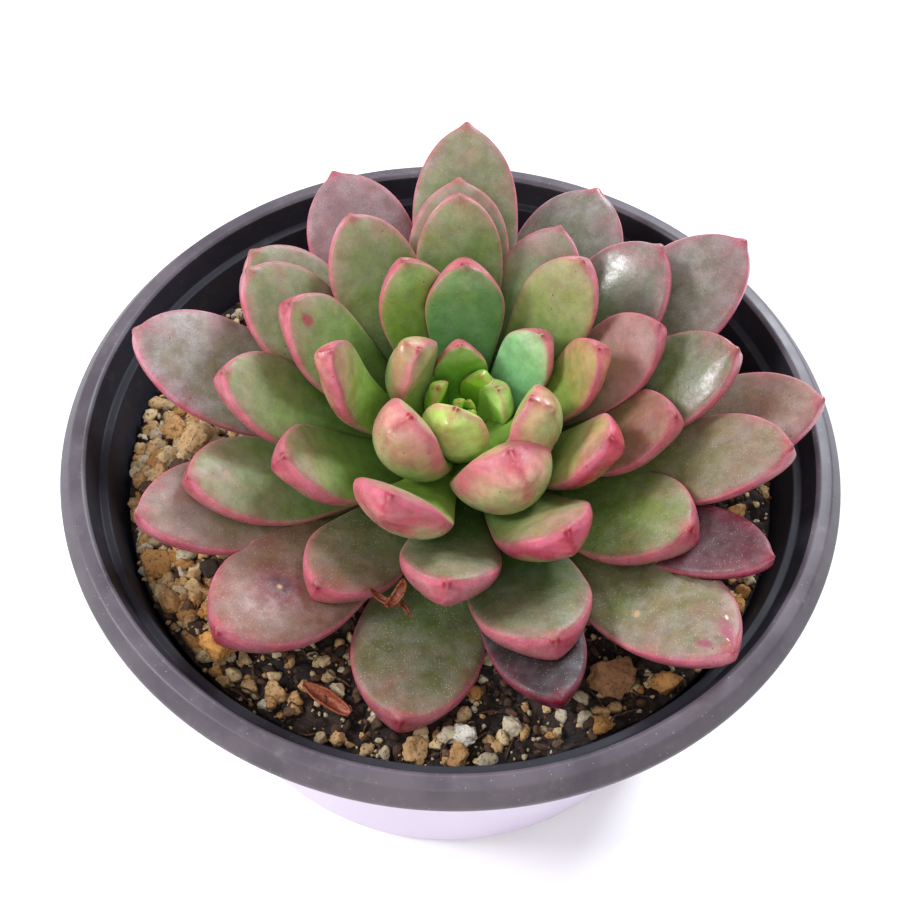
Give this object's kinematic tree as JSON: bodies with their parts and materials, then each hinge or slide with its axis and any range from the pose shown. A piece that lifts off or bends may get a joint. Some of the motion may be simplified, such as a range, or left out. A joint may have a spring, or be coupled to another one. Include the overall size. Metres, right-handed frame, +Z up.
{
  "type": "potted succulent",
  "caption": "Rosette succulent with thick spoon-shaped green and rose leaves, in a shallow round plastic pot of gritty soil.",
  "frame": {"origin": "centre of the pot's base, on the plane it stands on", "axes": "+Z up along the pot's axis; the rosette leans a little towards -Y, the side it is viewed from; +X to the viewer's right"},
  "size_m": [0.09, 0.09, 0.0629],
  "materials": {
    "leaf_young": "smooth waxy living skin, fresh green with a rose tip",
    "leaf_middle": "waxy living skin with a faint bloom, green with rose margins",
    "leaf_old": "waxy living skin with a powdery bloom, olive to mauve with rose margins",
    "growing_tip": "smooth young skin, yellow-green",
    "stem": "dull, slightly woody",
    "soil": "damp dark peat with fine grit and fibres, fully rough",
    "pot": "thin moulded plastic, charcoal rim and inside, pale lilac outside, satin",
    "pumice": "dry, rough, porous",
    "perlite": "dry, chalky, porous",
    "dry_leaf": "dry, papery, brown"
  },
  "bodies": {
    "root": {"leaf_01": "leaf_young", "leaf_02": "leaf_young", "leaf_03": "leaf_young", "leaf_04": "leaf_young", "leaf_05": "leaf_young", "leaf_06": "leaf_young", "leaf_08": "leaf_young", "leaf_09": "leaf_young", "leaf_10": "leaf_young", "leaf_11": "leaf_middle", "leaf_12": "leaf_middle", "leaf_13": "leaf_middle", "leaf_14": "leaf_middle", "leaf_15": "leaf_middle", "leaf_16": "leaf_middle", "leaf_17": "leaf_middle", "leaf_18": "leaf_middle", "leaf_19": "leaf_middle", "leaf_20": "leaf_middle", "leaf_21": "leaf_middle", "leaf_22": "leaf_middle", "leaf_23": "leaf_middle", "leaf_24": "leaf_middle", "leaf_25": "leaf_middle", "leaf_26": "leaf_middle", "leaf_27": "leaf_middle", "leaf_28": "leaf_middle", "leaf_29": "leaf_old", "leaf_30": "leaf_old", "leaf_31": "leaf_old", "leaf_32": "leaf_old", "leaf_33": "leaf_old", "leaf_34": "leaf_old", "leaf_35": "leaf_old", "leaf_36": "leaf_old", "leaf_37": "leaf_old", "leaf_38": "leaf_old", "leaf_39": "leaf_old", "leaf_40": "leaf_old", "leaf_41": "leaf_old", "leaf_42": "leaf_old", "leaf_43": "leaf_old", "leaf_44": "leaf_old", "leaf_45": "leaf_old", "leaf_46": "leaf_old", "leaf_47": "leaf_old", "leaf_48": "leaf_old", "leaf_50": "leaf_old", "leaf_53": "leaf_old", "growing_tip": "growing_tip", "stem": "stem", "soil": "soil", "pot": "pot", "pumice_ochre": "pumice", "pumice_brown": "pumice", "perlite_white": "perlite", "dry_leaf_scrap": "dry_leaf"}
  },
  "joints": []
}
